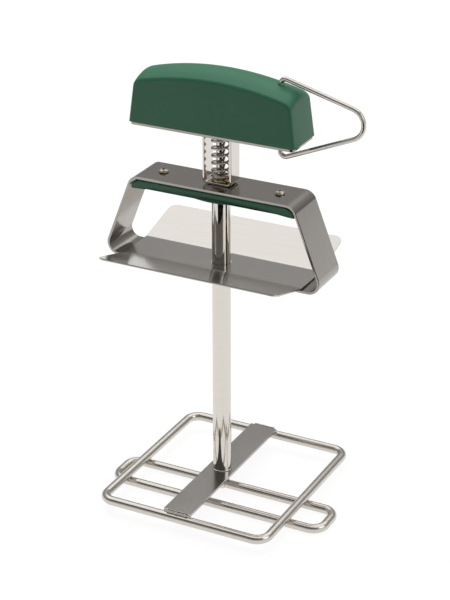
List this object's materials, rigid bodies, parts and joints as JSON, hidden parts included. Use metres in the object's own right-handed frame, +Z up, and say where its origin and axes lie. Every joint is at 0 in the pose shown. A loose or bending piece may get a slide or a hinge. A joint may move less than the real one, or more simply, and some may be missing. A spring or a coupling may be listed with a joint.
{
  "type": "grill grid gripper",
  "caption": "Spring-loaded hand tool that lifts a cooking grid: green handle over a grip bar and heat shield, a post, a wire foot frame and a wire hook beneath.",
  "frame": {"origin": "on the ground under the middle of the whole object's bounding box; the post's axis stands 11.3 mm to -X of it", "axes": "+Z up along the post, +X along the handle towards the hanging loop, +Y to the back, away from the hook's free run"},
  "size_m": [0.1794, 0.1398, 0.3082],
  "materials": {
    "green_rubber": "matte moulded",
    "polished_steel": "polished",
    "brushed_steel": "brushed",
    "sheet_steel": "rolled sheet, satin",
    "spring_steel": "bright drawn",
    "screw_steel": "bright",
    "weld_bead": "brushed weld",
    "brass": "turned"
  },
  "bodies": {
    "plunger": {"spring": "spring_steel", "handle_cover": "green_rubber", "handle_base_plate": "brushed_steel", "handle_screw_left": "screw_steel", "handle_screw_right": "screw_steel", "actuating_rod": "polished_steel", "rod_washer": "polished_steel", "rod_nut": "polished_steel", "spring_washer": "polished_steel", "hook_loop": "polished_steel", "hook_weld_left": "weld_bead", "hook_weld_right": "weld_bead"},
    "base": {"foot_frame": "polished_steel", "strap": "brushed_steel", "strap_weld_near": "weld_bead", "strap_weld_far": "weld_bead", "post_tube": "polished_steel", "post_weld": "weld_bead", "lower_bush": "brass", "upper_bush": "brass", "grip_bracket": "brushed_steel", "finger_pad": "green_rubber", "grip_screw_left": "screw_steel", "grip_screw_right": "screw_steel", "heat_shield": "sheet_steel", "spring_stirrup": "polished_steel"},
    "hanging_loop": {"hanging_loop": "polished_steel"}
  },
  "joints": [
    {"name": "handle_squeeze", "type": "slide", "parent": "plunger", "child": "base", "axis": [0, 0, 1], "range_m": [0, 0.016], "stiffness_N_per_m": 3000, "springref_m": -0.006, "deforming": ["spring"]},
    {"name": "loop_swing", "type": "hinge", "parent": "plunger", "child": "hanging_loop", "pos_m": [0.03106, 0, 0.2667], "axis": [0, 0, 1], "range_deg": [-90, 90]}
  ]
}
